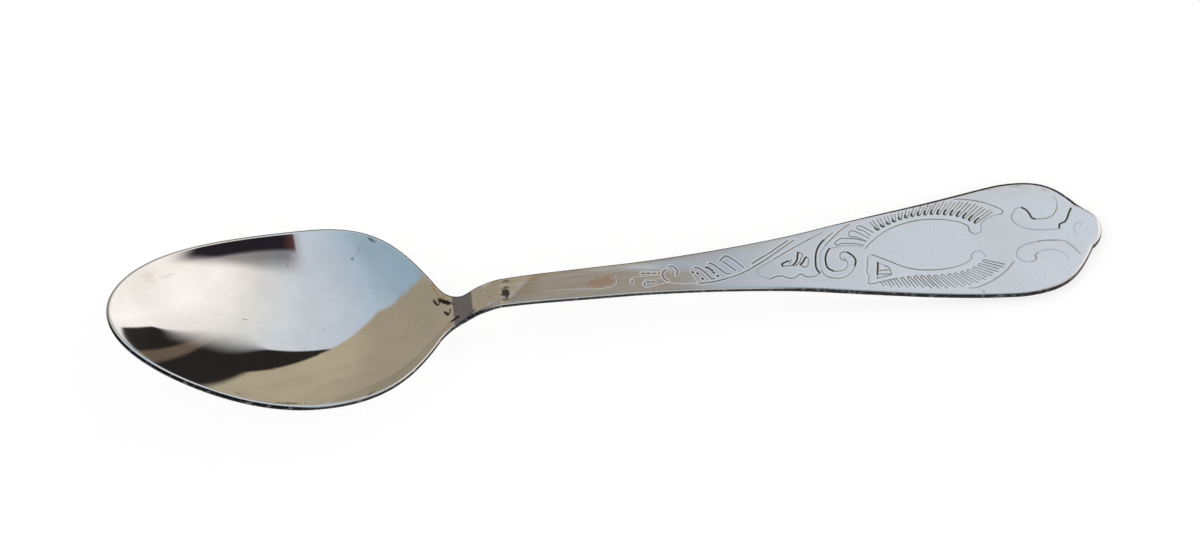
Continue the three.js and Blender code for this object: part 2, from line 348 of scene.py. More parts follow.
def half_sections(ribs, steps):
    """Points of each rib from the middle of the upper face, round the edge, to the middle below.

    Also two shares at each point: of painted shade on the cut edge, which grows down the upright side of
    the blank, and of upper face."""
    spine, edge_at, edge_across, slant = ribs.T
    reach = np.hypot(edge_at - spine, edge_across)
    edge = edge_height(edge_at)
    thick = edge_thickness(edge_at)
    far = edge_across > 0
    above = np.where(far, far_round(edge_at), near_round(edge_at))
    below = round_below(edge_at)
    rim = rim_flat(edge_at)
    shade = np.where(far, far_shade(edge_at), near_shade(edge_at))
    darkest = np.where(far, far_dark(edge_at), near_dark(edge_at))
    columns = []
    shares = []

    def column(inset, height, cut, upper):
        share = 1 - inset / reach
        columns.append(np.stack([spine + (edge_at - spine) * share, edge_across * share, height], -1))
        shares.append(np.stack([np.broadcast_to(cut, spine.shape), np.full(spine.shape, upper)], -1))

    def face(steps_out, border, height, upper):
        for share in steps_out:
            at = spine + (edge_at - spine) * share
            column(reach - share * (reach - border), height(at, edge_across * share), 0.0, upper)

    across = np.linspace(0, 1, steps + 1)
    face([*across[:-1], INNER_CORNER_SHARE, 1], (rim + above) * slant, upper_face, 1.0)
    quarter = np.linspace(0, math.pi / 2, ROUND_STEPS + 1)
    # Down the upper rounding the cut edge's painted shade grows as the rounding turns down
    for turn in quarter:
        cut = np.minimum(shade * math.sin(turn), darkest)
        drop = above * (1 - math.cos(turn))
        column(above * slant * (1 - math.sin(turn)), edge - drop, cut, math.cos(turn))
    # Round the lower rounding the painted shade is full at the side and fades towards the underside
    for turn in quarter:
        lift = thick - below * (1 - math.sin(turn))
        column(below * slant * (1 - math.cos(turn)), edge - lift, math.cos(turn) ** 2, 0.0)
    face(np.linspace(1, 0, UNDERSIDE_STEPS + 1)[1:], below * slant, lower_face, 0.0)
    return np.stack(columns, 1), np.stack(shares, 1)


def section_mesh(name, runs, steps, square_ends):
    """A closed section from runs of ribs that go counter-clockwise seen from above.

    square_ends pairs the far and near rib of each flat end with the way that end faces along X."""
    mesh = bmesh.new()
    layers = mesh.verts.layers.float
    for label in SHARES:
        layers.new(label)
    places = [layers[label] for label in SHARES]
    grids = []
    for ribs in runs:
        points, shares = half_sections(ribs, steps)
        points = (points + [TIP_X, 0, 0]) * MM
        grid = [[mesh.verts.new(point) for point in row] for row in points]
        for row, row_shares in zip(grid, shares):
            for vertex, vertex_shares in zip(row, row_shares):
                for place, share in zip(places, vertex_shares):
                    vertex[place] = share
        for last, following in zip(grid, grid[1:]):
            for k in range(1, len(last)):
                mesh.faces.new((last[k - 1], last[k], following[k], following[k - 1]))
        grids.append(grid)
    for (far_run, far_rib), (near_run, near_rib), facing in square_ends:
        ring = grids[far_run][far_rib] + grids[near_run][near_rib][::-1]
        cap = mesh.faces.new(ring)
        cap.normal_update()
        if cap.normal.x * facing < 0:
            cap.normal_flip()
    bmesh.ops.remove_doubles(mesh, verts=mesh.verts, dist=MERGE_DISTANCE)
    bmesh.ops.dissolve_degenerate(mesh, edges=mesh.edges, dist=MERGE_DISTANCE)
    for face in mesh.faces:
        face.smooth = len(face.verts) <= 4
    for edge in mesh.edges:
        edge.smooth = all(face.smooth for face in edge.link_faces)
    data = bpy.data.meshes.new(name)
    mesh.to_mesh(data)
    mesh.free()
    return placed(name, data)


TO_HANDLE = 1
TO_BOWL = -1
FIRST = 0
LAST = -1


def bowl_piece():
    back_far = square_ribs(HEEL, BOWL_WIDEST, BOWL_SPACING, FAR)
    fan_far = fan_ribs(BOWL_WIDEST, nose, BOWL_SPACING, FAR)[::-1]
    fan_near = fan_ribs(BOWL_WIDEST, nose, BOWL_SPACING, NEAR)
    back_near = square_ribs(BOWL_WIDEST, HEEL, BOWL_SPACING, NEAR)
    run = np.concatenate([back_far, fan_far[1:], fan_near[1:], back_near[1:]])
    return section_mesh("bowl_polished", [run], BOWL_STEPS, [((0, FIRST), (0, LAST), TO_HANDLE)])


def shank_piece(name, start, end, spacing, steps):
    far = square_ribs(end, start, spacing, FAR)
    near = square_ribs(start, end, spacing, NEAR)
    ends = [((0, FIRST), (1, LAST), TO_HANDLE), ((0, LAST), (1, FIRST), TO_BOWL)]
    return section_mesh(name, [far, near], steps, ends)


def plate_piece():
    front_near = square_ribs(PLATE_START, PLATE_WIDEST, STAMPED_SPACING, NEAR)
    fan_near = fan_ribs(PLATE_WIDEST, plate_end, STAMPED_SPACING, NEAR)
    fan_far = fan_ribs(PLATE_WIDEST, plate_end, STAMPED_SPACING, FAR)[::-1]
    front_far = square_ribs(PLATE_WIDEST, PLATE_START, STAMPED_SPACING, FAR)
    run = np.concatenate([front_near, fan_near[1:], fan_far[1:], front_far[1:]])
    return section_mesh("handle_plate_stamped", [run], PLATE_STEPS, [((0, LAST), (0, FIRST), TO_BOWL)])


# Node trees

def joining(operation, swapped=False):
    """A method that joins a socket and another value by a Math node."""

    def join(socket, other):
        first, second = (other, socket) if swapped else (socket, other)
        return socket.tree.math(operation, first, second)

    return join


class Socket:
    """A node's output that joins in Python sums by adding Math nodes."""

    def __init__(self, tree, socket):
        self.tree = tree
        self.socket = socket

    __add__ = joining("ADD")
    __radd__ = __add__
    __sub__ = joining("SUBTRACT")
    __rsub__ = joining("SUBTRACT", swapped=True)
    __mul__ = joining("MULTIPLY")
    __rmul__ = __mul__
    __truediv__ = joining("DIVIDE")
    __rtruediv__ = joining("DIVIDE", swapped=True)
    above = joining("GREATER_THAN")
    least = joining("MINIMUM")
    most = joining("MAXIMUM")

    def __neg__(self):
        return self * -1

    def size(self):
        return self.tree.math("ABSOLUTE", self)

    def ease(self, start, end, low=0.0, high=1.0):
        """Eases from low at start to high at end."""
        settings = {"interpolation_type": "SMOOTHSTEP"}
        inputs = {"Value": self, "From Min": start, "From Max": end, "To Min": low, "To Max": high}
        return self.tree.node("ShaderNodeMapRange", settings, inputs)["Result"]

    def fade(self, start, end):
        return self.ease(start, end, 1.0, 0.0)

    def rise(self, middle, soft):
        return self.ease(middle - soft, middle + soft)

    def fall(self, middle, soft):
        return self.fade(middle - soft, middle + soft)


class Node:
    def __init__(self, tree, node):
        self.tree = tree
        self.node = node

    def __getitem__(self, name):
        return Socket(self.tree, self.node.outputs[name])


class Tree:
    """Builds a node tree from Python."""

    def __init__(self, tree):
        self.tree = tree

    def feed(self, socket, value):
        if isinstance(value, Socket):
            self.tree.links.new(value.socket, socket)
        else:
            socket.default_value = value

    def node(self, kind, settings=None, inputs=None):
        made = self.tree.nodes.new(kind)
        for name, value in (settings or {}).items():
            if name == "stops":
                self.set_stops(made.color_ramp, value)
            else:
                setattr(made, name, value)
        for name, value in (inputs or {}).items():
            self.feed(made.inputs[name], value)
        return Node(self, made)

    def set_stops(self, ramp, stops):
        while len(ramp.elements) < len(stops):
            ramp.elements.new(1)
        for element, (place, colour) in zip(ramp.elements, stops):
            element.position = place
            element.color = (*colour, 1)

    def math(self, operation, first, second=0.0):
        return self.node("ShaderNodeMath", {"operation": operation}, {0: first, 1: second})["Value"]

    def mix(self, share, first, second):
        """A colour mixed from two."""
        made = self.node("ShaderNodeMix", {"data_type": "RGBA"}, {"Factor": share})
        colours = [socket for socket in made.node.inputs if socket.type == "RGBA"]
        for socket, value in zip(colours, (first, second)):
            self.feed(socket, value if isinstance(value, Socket) else (*value, 1))
        result = [socket for socket in made.node.outputs if socket.type == "RGBA"]
        return Socket(self, result[0])

    def split(self, vector):
        made = self.node("ShaderNodeSeparateXYZ", inputs={"Vector": vector})
        return made["X"], made["Y"], made["Z"]


# Ornament, drawn on the flattened handle

def from_tip(along, across):
    return ((along + TIP_X) * MM, across * MM, 0)


def as_given(x, y):
    return (x, y, 0)


def drawn(name, lines, place=from_tip):
    """A curve object with a line through each row of points: smooth for a list, straight for a tuple."""
    curve = bpy.data.curves.new(name, "CURVE")
    curve.dimensions = "3D"
    curve.resolution_u = LINE_SAMPLES
    for points in lines:
        handles = "VECTOR" if isinstance(points, tuple) else "AUTO"
        spline = curve.splines.new("BEZIER")
        spline.bezier_points.add(len(points) - 1)
        for knot, point in zip(spline.bezier_points, points):
            knot.co = place(*point)
            knot.handle_left_type = handles
            knot.handle_right_type = handles
    return placed(name, curve)


# Lines of the ornament by weight, as the die has worn
DEEP_LINES = [
    # Bar pits
    [(104.8, -0.2), (105, -0.4)],
    [(105.7, -0.6), (105.9, -0.8)],
    [(106.4, -1.9), (106.6, -2.1)],
    [(107.4, 0.5), (107.7, 0.4)],
    [(107.9, 0.25), (108.1, 0.1)],
    [(108.3, -0.2), (108.5, -0.4)],
    [(108.6, -0.8), (108.8, -1)],
    [(109.2, -1.6), (109.4, -1.8)],
    # Leaf eyes
    [(122.5, 0.1), (121.9, -0.1), (121.2, -0.5), (121.3, -0.95)],
    [(123.2, -0.9), (123.7, -0.4), (124.1, 0.3), (124.3, 1.2), (124.5, 1.9)],
    [(124.5, -1), (125.1, -0.4), (125.5, 0.3), (125.8, 0.6)],
    # Big volute
    [(129.6, 4.1), (128.9, 3.4), (128.1, 2.2), (127.6, 0.8), (127.3, -1), (127.3, -2.3), (127.7, -3.2)],
    [(130.3, 2), (129.9, 1.5), (129.4, 0.5), (129.15, -1), (129.4, -2.4), (130.2, -3.1)],
    [(133.4, 0.8), (134.2, -0.1), (134.6, -1.2), (134.3, -2.4)],
    # End block
    [(138.5, -2.2), (138.3, -3.5), (138, -4.8)],
    # Upper scroll
    [(166.6, 6.3), (167.2, 5.7), (167.7, 4.6), (168, 3.6), (168.5, 3.3)],
    [(172.4, 0.5), (172.7, 1.4), (173.6, 1.7), (174.3, 2.6), (174.8, 3.6), (175.4, 4.6)],
]
FINE_LINES = [
    # Long scroll
    [
        (105.7, -2.9), (108, -2.9), (111, -2.4), (114, -1.5),
        (116.8, 0), (119.3, 1.5), (121.5, 3), (124.2, 4.8),
    ],
    [(115.8, 0.3), (117.6, 1.4), (119.4, 2.4), (121, 3.5), (123, 4.8)],
    # Small volute
    [(100.2, -1.7), (99.6, -1.1), (99.4, -0.3), (99.6, 0.4), (100.2, 0.9)],
    [(100.8, 1.55), (101.5, 1.45), (102.05, 0.7), (102.15, -0.1), (101.9, -0.6)],
    # Palmette
    [(95.7, 0.5), (96.2, 0.5)],
    [(96.6, 0.45), (97.2, 0.4)],
    [(97.7, 0.3), (98.2, 0.25)],
    [(93.75, -0.8), (93.75, -1.2)],
    [(95.9, -1.7), (95.95, -2.2)],
    [(96.4, -1.5), (96.9, -1.55)],
    [(97.3, -1.6), (97.8, -1.65)],
    # Bars
    [(105.4, 0.8), (106.2, 0.4), (107.1, -0.6), (108.1, -2.2)],
    [(108.1, 1.4), (108.7, 1.1), (109.6, 0.1), (110.9, -1.4)],
    [(110.1, 1.6), (110.5, 2.1), (111.3, 2.7)],
    [(111.3, 2.7), (111.9, 2.3), (113.2, 0.9), (114.2, -0.4)],
    [(110.6, 1.5), (111.7, 0.3), (112.7, -0.9)],
    [(108.1, -2.2), (108.7, -2.2)],
    [(110.9, -1.4), (111.7, -1.4)],
    # Leaf
    [(120, 0.9), (124, 3.1), (127.5, 4.9)],
    [(118.6, -3.5), (119.4, -3.2), (120.2, -3.05), (120.9, -3.1)],
    [(121, -3.1), (121.5, -3.5), (122.5, -3.8), (123.4, -3.6), (124, -3.05)],
    [(124, -3.05), (124.5, -3.2), (125, -3.7), (126, -3.9), (127, -3.75), (127.7, -3.3)],
    # Leaf eyes
    [(121.3, -0.95), (122.5, -0.95), (123.3, -1)],
    [(123.1, 0.5), (122.8, 0), (122.6, -0.5)],
    [(124.5, 1.9), (125.2, 1.3), (124.9, 0.6), (124.4, -0.4), (123.6, -1.1)],
    [(125.8, 0.6), (126.1, 0.3), (126, -0.6), (125.7, -1.4), (125.1, -1.6), (124.5, -1)],
    # Big volute
    [(131.4, 5.6), (130.4, 4.8), (129.6, 4.1)],
    [(134.8, 7.2), (133, 6), (131, 4.2), (129.6, 2.8)],
    [(128.1, -2.6), (128.6, -3.9), (129.8, -4.6), (131.3, -4.85), (132.8, -4.3), (134, -3), (134.3, -2.4)],
    [(133.4, 0.8), (132.7, 0.95), (132.1, 0.6), (131.9, -0.1), (132.2, -0.8), (132.9, -1)],
    [(130.2, -3.1), (131.3, -3.25), (132.4, -2.9), (133, -2.1), (133, -1.3), (132.5, -0.3)],
    # First ribs
    [(132.6, 4.1), (131.5, 2.9), (133, 2.9), (135, 2.6), (136.6, 2)],
    [(132.6, 4.1), (134.2, 3.9), (136, 3.4), (137.2, 2.8)],
    [(137.2, 2.9), (135.6, 4), (134.3, 4.5), (134.3, 5.1), (135, 5.6), (136, 5), (137.8, 3.5)],
    [(138.2, 4), (137.1, 5.3), (136, 6.1), (136.4, 6.6), (137, 6.3), (138.8, 4.7)],
    # Cartouche
    [
        (136.7, 1.2), (138, 2.5), (140, 4.1), (142, 5.2), (145, 6.15), (148.5, 6.5), (151, 6.2),
        (153.5, 5.5), (155.3, 4.6), (156.2, 3.6), (156.2, 2.7), (156.7, 2),
    ],
    [(154.8, 10.4), (157, 9.9), (159.5, 8.9), (161.5, 7.6), (162.6, 6.7), (163, 5.9), (162.4, 5.5)],
    [
        (137.8, -0.3), (139, -1.1), (141, -2.4), (143, -3.7), (145, -4.5), (147.5, -5), (150.5, -5.15),
        (153, -4.8), (154.8, -4.1), (155.5, -3.5), (155.6, -2.7), (156.3, -2.15),
    ],
    [(153.8, -10), (155, -10.1), (157, -9.6), (159, -8.7), (161, -7.4), (162.9, -5.5)],
    [(136.7, -6.8), (139, -6.45), (141.5, -6.1)],
    # End block
    [
        (136.9, -0.8), (136.6, -2), (136.5, -3), (136.2, -3.8),
        (136.4, -5), (136.2, -6), (136.1, -6.6), (136.7, -6.8),
    ],
    ((138, -4.8), (137.8, -5.7), (140.6, -5.2), (140.4, -3.6), (139.7, -3)),
    [(138.5, -4), (140.4, -4.1)],
    [(138.2, -4.8), (140.4, -5)],
    # Upper scroll
    [(168.5, 3.3), (169.5, 3.15), (170.5, 3.1), (171.6, 3.5), (172.4, 4.3), (172.9, 5.4)],
    # Lower scroll
    [(167.4, -4.3), (166.9, -4.8), (167, -5.4), (166.7, -5.9), (165.9, -6.1)],
    [(168, -1.8), (169, -1.75), (170.5, -1.95), (171.5, -2.1)],
    [(173.2, -3), (173.8, -3.8), (174.5, -5), (175, -5.8)],
]
FAINT_LINES = [
    # Long scroll
    [(99.8, -2), (102.3, -2.6), (105.7, -2.9)],
    # Small volute
    [(100.2, 0.9), (100.9, 0.8), (101.2, 0.3), (100.9, -0.3)],
    # Palmette
    [(96.3, 1.6), (98, 1.4), (99.6, 1.1)],
    [(95.4, 0.1), (95.6, 0.9), (97.4, 0.7), (99.3, 0.5)],
    [(93.6, -1.2), (93.8, -0.4), (95.8, -0.2), (99.2, -0.3)],
    [(99.2, -1), (97.6, -1), (96, -1.1), (95.9, -2)],
    [(96.1, -2.7), (97.6, -2.5), (99.6, -2.1)],
    # Bars
    [(105.2, 0.9), (104.7, 0.3), (104.9, -0.9), (105.5, -2.6)],
    [(108, 1.4), (107.3, 0.8)],
    # Leaf
    [(120, 0.9), (118, -0.2), (116.8, -0.9), (116.4, -1.5), (116.6, -2.3), (117.5, -3), (118.6, -3.5)],
    [(127.5, 4.9), (129.5, 5.9)],
    # Big volute
    [(129.6, 2.8), (128.6, 1.3), (128.2, -0.5), (128.1, -2.6)],
    [(130.3, 2), (132, 2.3), (134, 2.3), (136.4, 1.7)],
    # Cartouche
    [
        (162.4, 5.5), (161, 5.3), (159.5, 4.7), (158.5, 3.8),
        (158.4, 2.8), (158, 2), (157.2, 1.8), (156.7, 2),
    ],
    [(156.3, -2.15), (157.2, -2.2), (157.8, -2.9), (158, -3.6)],
    # End block
    [(136.9, -0.8), (137.4, -0.3), (137.8, -0.3)],
    [(138.6, -2.3), (139.7, -3)],
    # Upper scroll
    [
        (166.6, 6.3), (165.8, 6.4), (165, 5.7), (164.3, 4.5),
        (164.6, 3.2), (166, 1.8), (168, 0.9), (172.3, 0.3),
    ],
    [(172.9, 5.4), (173.1, 6.5), (172.8, 7.8)],
    # Lower scroll
    [(165.9, -6.1), (164.3, -5.5), (163.6, -4.3), (164.2, -2.9), (165.8, -2.1), (168, -1.8)],
    [(167.4, -4.3), (169, -3.9), (171, -4.4), (172.3, -5.5), (172.8, -6.9)],
    [(171.5, -2.1), (172.8, -2.6), (173.2, -3)],
    [(175.2, -1.2), (175, 0.3), (175.9, 1.2), (177, 0.8)],
    # Stem panel
    [(74, -1.2), (79, -1.3), (84, -1.6), (89.3, -1.9), (90.7, -1.5), (91, -0.6), (91, 0.5)],
]
# Rows of ribs: the line of their feet and the line of their tips
UPPER_ROW = (
    [(139.3, 5), (141.7, 6.2), (145, 7.35), (148.5, 7.65), (152, 7.25), (155, 6.2), (158, 4)],
    [(138.1, 7.2), (141, 8), (145, 8.8), (149.3, 9.7), (153.2, 10), (157.5, 9), (161.6, 6.2)],
)
LOWER_ROW = (
    [(138, -6.6), (141, -6.2), (144.5, -6.05), (149.5, -6.4), (153.5, -6.2), (156, -5.3), (157.9, -4)],
    [(138.3, -7.3), (141.5, -8.1), (146, -8.7), (150, -9.4), (154, -9.4), (158.2, -8), (161.6, -5.8)],
)
RIBS_IN_ROW = 17
RIB_WIDTH = 0.66
LINE_HALF_WIDTH = 0.22
LINE_DEPTH = 0.032
LINE_SAMPLES = 6
UPWARD = 0.5

# For each weight of line its share of the full depth, its lines and the rows of ribs that go with them
WEIGHTS = {"deep_line": 1.0, "fine_line": 0.8, "faint_line": 0.5}
LINES = {"deep_line": DEEP_LINES, "fine_line": FINE_LINES, "faint_line": FAINT_LINES}
ROWS = {"deep_line": ["Upper feet"], "fine_line": ["Upper ribs", "Lower ribs"], "faint_line": []}

# One rib of unit length and width along X: its sides, open at the tip, and the deeper corner at its foot
RIB_SIDES = ((0.97, 0.5), (0.1, 0.4), (0, 0.28), (0, -0.28), (0.1, -0.4), (0.97, -0.5))
RIB_FOOT = ((0.3, 0.42), (0.1, 0.38), (0, 0.22), (0, -0.2))


def geometry_tree(name, inputs):
    """An empty Geometry Nodes group with a geometry going in and out and the named inputs."""
    group = bpy.data.node_groups.new(name, "GeometryNodeTree")
    for label, kind in {"Geometry": "Geometry", **inputs}.items():
        group.interface.new_socket(label, in_out="INPUT", socket_type="NodeSocket" + kind)
    group.interface.new_socket("Geometry", in_out="OUTPUT", socket_type="NodeSocketGeometry")
    tree = Tree(group)
    return group, tree, tree.node("NodeGroupInput")


def close_tree(tree, geometry, material):
    """Ends a tree in Realize Instances and Set Material."""
    real = tree.node("GeometryNodeRealizeInstances", inputs={"Geometry": geometry})["Geometry"]
    dressed = tree.node("GeometryNodeSetMaterial", inputs={"Geometry": real, "Material": material})
    tree.node("NodeGroupOutput", inputs={"Geometry": dressed["Geometry"]})


def shape_of(tree, piece):
    """The geometry of an object that a tree is given."""
    return tree.node("GeometryNodeObjectInfo", inputs={"Object": piece})["Geometry"]


def rib_row_tree():
    """A row of ribs that stand on one line and reach to another."""
    kinds = {"Tips": "Object", "Rib": "Object", "Count": "Int", "Width": "Float", "Material": "Material"}
    group, tree, given = geometry_tree("rib_row", kinds)
    points = tree.node("GeometryNodePoints", inputs={"Count": given["Count"]})["Points"]
    index = tree.node("GeometryNodeInputIndex")["Index"]
    share = (index + 0.5) / given["Count"]

    def place_on(curve):
        settings = {"mode": "FACTOR", "use_all_curves": True}
        made = tree.node("GeometryNodeSampleCurve", settings, {"Curves": curve, "Factor": share})
        return made["Position"]

    foot = place_on(given["Geometry"])
    tip = place_on(shape_of(tree, given["Tips"]))
    reach = tree.node("ShaderNodeVectorMath", {"operation": "SUBTRACT"}, {0: tip, 1: foot})["Vector"]
    length = tree.node("ShaderNodeVectorMath", {"operation": "LENGTH"}, {0: reach})["Value"]
    turn = tree.node("FunctionNodeAlignRotationToVector", {"axis": "X"}, {"Vector": reach})["Rotation"]
    scale = tree.node("ShaderNodeCombineXYZ", inputs={"X": length, "Y": given["Width"], "Z": 1.0})["Vector"]
    inputs = {"Geometry": points, "Position": foot}
    standing = tree.node("GeometryNodeSetPosition", inputs=inputs)["Geometry"]
    rib = shape_of(tree, given["Rib"])
    inputs = {"Points": standing, "Instance": rib, "Rotation": turn, "Scale": scale}
    ribs = tree.node("GeometryNodeInstanceOnPoints", inputs=inputs)["Instances"]
    lines = tree.node("GeometryNodeCurveToMesh", inputs={"Curve": ribs})["Mesh"]
    close_tree(tree, lines, given["Material"])
    return group


def stamp_tree():
    """Presses drawn lines into the upper face and records how far each point lies from them."""
    kinds = dict.fromkeys([*WEIGHTS, *sum(ROWS.values(), [])], "Object")
    kinds.update({"Half width": "Float", "Depth": "Float", "Material": "Material"})
    group, tree, given = geometry_tree("stamp", kinds)
    x, y, _ = tree.split(tree.node("GeometryNodeInputPosition")["Position"])
    flat = tree.node("ShaderNodeCombineXYZ", inputs={"X": x, "Y": y})["Vector"]
    normal = tree.node("GeometryNodeInputNormal")["Normal"]
    upper = tree.split(normal)[2].above(UPWARD)
    shape = given["Geometry"]
    presses = []
    for label, weight in WEIGHTS.items():
        curve = shape_of(tree, given[label])
        lines = tree.node("GeometryNodeCurveToMesh", inputs={"Curve": curve})["Mesh"]
        joined = tree.node("GeometryNodeJoinGeometry")
        for edges in [lines, *(shape_of(tree, given[row]) for row in ROWS[label])]:
            tree.feed(joined.node.inputs["Geometry"], edges)
        inputs = {"Geometry": joined["Geometry"], "Sample Position": flat}
        distance = tree.node("GeometryNodeProximity", {"target_element": "EDGES"}, inputs)["Distance"]
        settings = {"data_type": "FLOAT", "domain": "POINT"}
        inputs = {"Geometry": shape, "Name": label, "Value": distance / MM}
        shape = tree.node("GeometryNodeStoreNamedAttribute", settings, inputs)["Geometry"]
        presses.append(distance.ease(0.0, given["Half width"], -weight, 0.0))
    sunk = sum(presses[1:], presses[0])
    offset = tree.node("ShaderNodeCombineXYZ", inputs={"Z": sunk * given["Depth"]})["Vector"]
    inputs = {"Geometry": shape, "Selection": upper, "Offset": offset}
    pressed = tree.node("GeometryNodeSetPosition", inputs=inputs)["Geometry"]
    close_tree(tree, pressed, given["Material"])
    return group


def run_tree(source, group, inputs, name):
    """Runs a tree on an object and returns the result as a plain mesh object."""
    modifier = source.modifiers.new("tree", "NODES")
    modifier.node_group = group
    for item in group.interface.items_tree:
        if item.in_out == "INPUT" and item.name in inputs:
            modifier[item.identifier] = inputs[item.name]
    bpy.context.view_layer.update()
    graph = bpy.context.evaluated_depsgraph_get()
    mesh = bpy.data.meshes.new_from_object(source.evaluated_get(graph))
    mesh.name = name
    source.modifiers.remove(modifier)
    return placed(name, mesh)


def stamped(pieces):
    """Presses the ornament into pieces that each come with their material."""
    row = rib_row_tree()
    sides = drawn("rib_sides", [RIB_SIDES], as_given)
    foot = drawn("rib_foot", [RIB_FOOT], as_given)
    helpers = [sides, foot]
    rows = {}
    for label, shape, (feet, tips) in (
        ("Upper ribs", sides, UPPER_ROW),
        ("Upper feet", foot, UPPER_ROW),
        ("Lower ribs", sides, LOWER_ROW),
    ):
        feet_line = drawn("rib_feet", [feet])
        tips_line = drawn("rib_tips", [tips])
        inputs = {"Tips": tips_line, "Rib": shape, "Count": RIBS_IN_ROW, "Width": RIB_WIDTH * MM}
        rows[label] = run_tree(feet_line, row, inputs, "rib_lines")
        helpers += [feet_line, tips_line, rows[label]]
    lines = {label: drawn(label, points) for label, points in LINES.items()}
    helpers += lines.values()
    stamp = stamp_tree()
    made = []
    for piece, material in pieces:
        name = piece.name
        piece.name = name + "_blank"
        inputs = {**rows, **lines, "Half width": LINE_HALF_WIDTH * MM, "Depth": LINE_DEPTH * MM}
        inputs["Material"] = material
        made.append(run_tree(piece, stamp, inputs, name))
        helpers.append(piece)
    for helper in helpers:
        bpy.data.objects.remove(helper)
    return made


# Finishes

SILVER = (0.87, 0.87, 0.86)
BRIGHT_SILVER = (0.99, 0.99, 0.98)
# Colour of the painted warm reflection of the tan wall on the shank
PAINTED_WARM_REFLECTION = (0.515, 0.39, 0.255)
GREY_SILVER = (0.64, 0.645, 0.66)
DULL_SILVER = (0.47, 0.5, 0.6)
# Colour of the painted darker reflection on the neck's steep stretch
PAINTED_NECK_REFLECTION = (0.32, 0.33, 0.42)
# Colour of the painted tan reflection on the saddle and the neck
PAINTED_TAN_REFLECTION = (0.84, 0.56, 0.34)
TARNISH = (0.026, 0.027, 0.031)
# Near-black metal of the cut edge: its tarnish, darkened further as painted shade
SHADED_CUT_METAL = (0.014, 0.013, 0.013)
WORN_EDGE = (0.16, 0.15, 0.15)
STREAK = (0.3, 0.26, 0.22)
RUST = (0.5, 0.29, 0.17)
HAZE = (0.6, 0.55, 0.46)
SMOKE = (0.12, 0.16, 0.19)

# Stains and knocks on the upper face, and patches of painted tan reflection: colour, strength, place along
# and across, half sizes, turn in degrees
BOWL_STAINS_AND_REFLECTIONS = [
    (SMOKE, 0.7, 47.1, 16.7, 1.0, 0.28, -42),
    (SMOKE, 0.5, 43.3, 14.1, 0.28, 0.28, 0),
    (SMOKE, 0.16, 44.6, 15.3, 1.0, 0.3, 55),
    (SMOKE, 0.3, 31.4, 13.5, 0.3, 0.3, 0),
    (HAZE, 0.3, 7.2, 8.3, 1.0, 0.9, 0),
    (SMOKE, 0.14, 10.5, 9.3, 1.3, 0.3, 25),
    (TARNISH, 0.75, 23.2, 2.3, 0.5, 0.1, -10),
    (TARNISH, 0.85, 30.8, -18.6, 2.6, 0.17, -3),
    (TARNISH, 0.6, 21.8, -16.4, 0.5, 0.12, -12),
    (RUST, 0.6, 27.1, -9.2, 0.7, 0.12, -8),
    (TARNISH, 0.97, 59.5, 2.5, 1.7, 0.4, -33),
    (TARNISH, 0.9, 57.6, 3.0, 0.65, 0.24, -54),
    (TARNISH, 0.8, 58.1, 2.5, 0.4, 0.18, 10),
    (TARNISH, 0.95, 59.55, 0.05, 0.75, 0.27, -57),
    (TARNISH, 0.8, 60.1, 0.2, 0.75, 0.15, 72),
    (BRIGHT_SILVER, 0.5, 60.5, 0.1, 0.6, 0.13, 75),
    (TARNISH, 0.95, 60.9, -1.85, 1.1, 0.32, 17),
    (RUST, 0.45, 59.6, -3.1, 2.4, 0.2, 25),
    # A painted tan reflection over the saddle between bowl and neck
    (PAINTED_TAN_REFLECTION, 0.95, 58.5, 4.75, 1.7, 0.62, -52),
    (TARNISH, 0.7, 45.0, -17.85, 0.8, 0.17, 38),
]
NECK_STAINS_AND_REFLECTIONS = [
    # A painted tan reflection on the neck's near side
    (PAINTED_TAN_REFLECTION, 0.85, 70.5, -2.2, 1.1, 0.6, 20),
    (TARNISH, 0.55, 71, 2, 0.7, 0.28, 0),
    (TARNISH, 0.65, 71, 0.5, 0.65, 0.25, 0),
    (TARNISH, 0.9, 70.8, -0.7, 0.75, 0.85, 0),
    (TARNISH, 0.6, 70.7, -2.1, 0.7, 0.4, 0),
    (TARNISH, 0.4, 70.7, -2.9, 0.55, 0.16, 0),
    (SMOKE, 0.6, 64.3, -2.2, 0.8, 0.3, 15),
    # A painted tan reflection along the neck's near edge
    (PAINTED_TAN_REFLECTION, 0.9, 67.3, -2.75, 3.2, 0.35, 2),
]
STEM_STAINS = [(RUST, 0.7, 88.3, -0.4, 2.6, 1.1, 10), (RUST, 0.4, 85.5, 1.15, 5.5, 0.13, 2)]
PLATE_STAINS = [
    (RUST, 0.5, 156.3, -11.2, 0.3, 0.35, 0),
    (TARNISH, 0.4, 163.3, -11.9, 0.14, 0.14, 0),
    (TARNISH, 0.3, 161.5, 11.3, 0.22, 0.3, 0),
    (RUST, 0.35, 166.5, 11.35, 1.4, 0.22, 0),
    (RUST, 0.3, 171.5, 9.6, 0.6, 0.2, -35),
    (TARNISH, 0.25, 176.3, 0.6, 0.14, 0.3, 0),
]
# Stretches along the spoon, each start and end with its softness: a painted darker reflection on the neck,
# the streaks of rolling, a painted warm reflection on the shank, a painted greyer reflection where it runs
# into the plate
NECK_REFLECTION_START = (60.8, 0.2)
NECK_REFLECTION_END = (64.5, 0.2)
ROLLED_START = (65.5, 1)
ROLLED_END = (104, 6)
WARM_START = (73.6, 0.8)
WARM_END = (103, 6)
GREY_START = (98, 4)
GREY_END = (117, 9)
# The painted warm reflection's slants across the shank, its turn back at the near edge and its fade at the
# far one
WARM_START_SLANT = 0.95
WARM_SLANT_FROM = -3.0
WARM_TURN_BACK = -1.5
WARM_END_SLANT = 5.0
WARM_END_FROM = -0.5
WARM_FAR_SIDE = (1.2, 3.0)
WARM_FAR_SHARE = 0.3

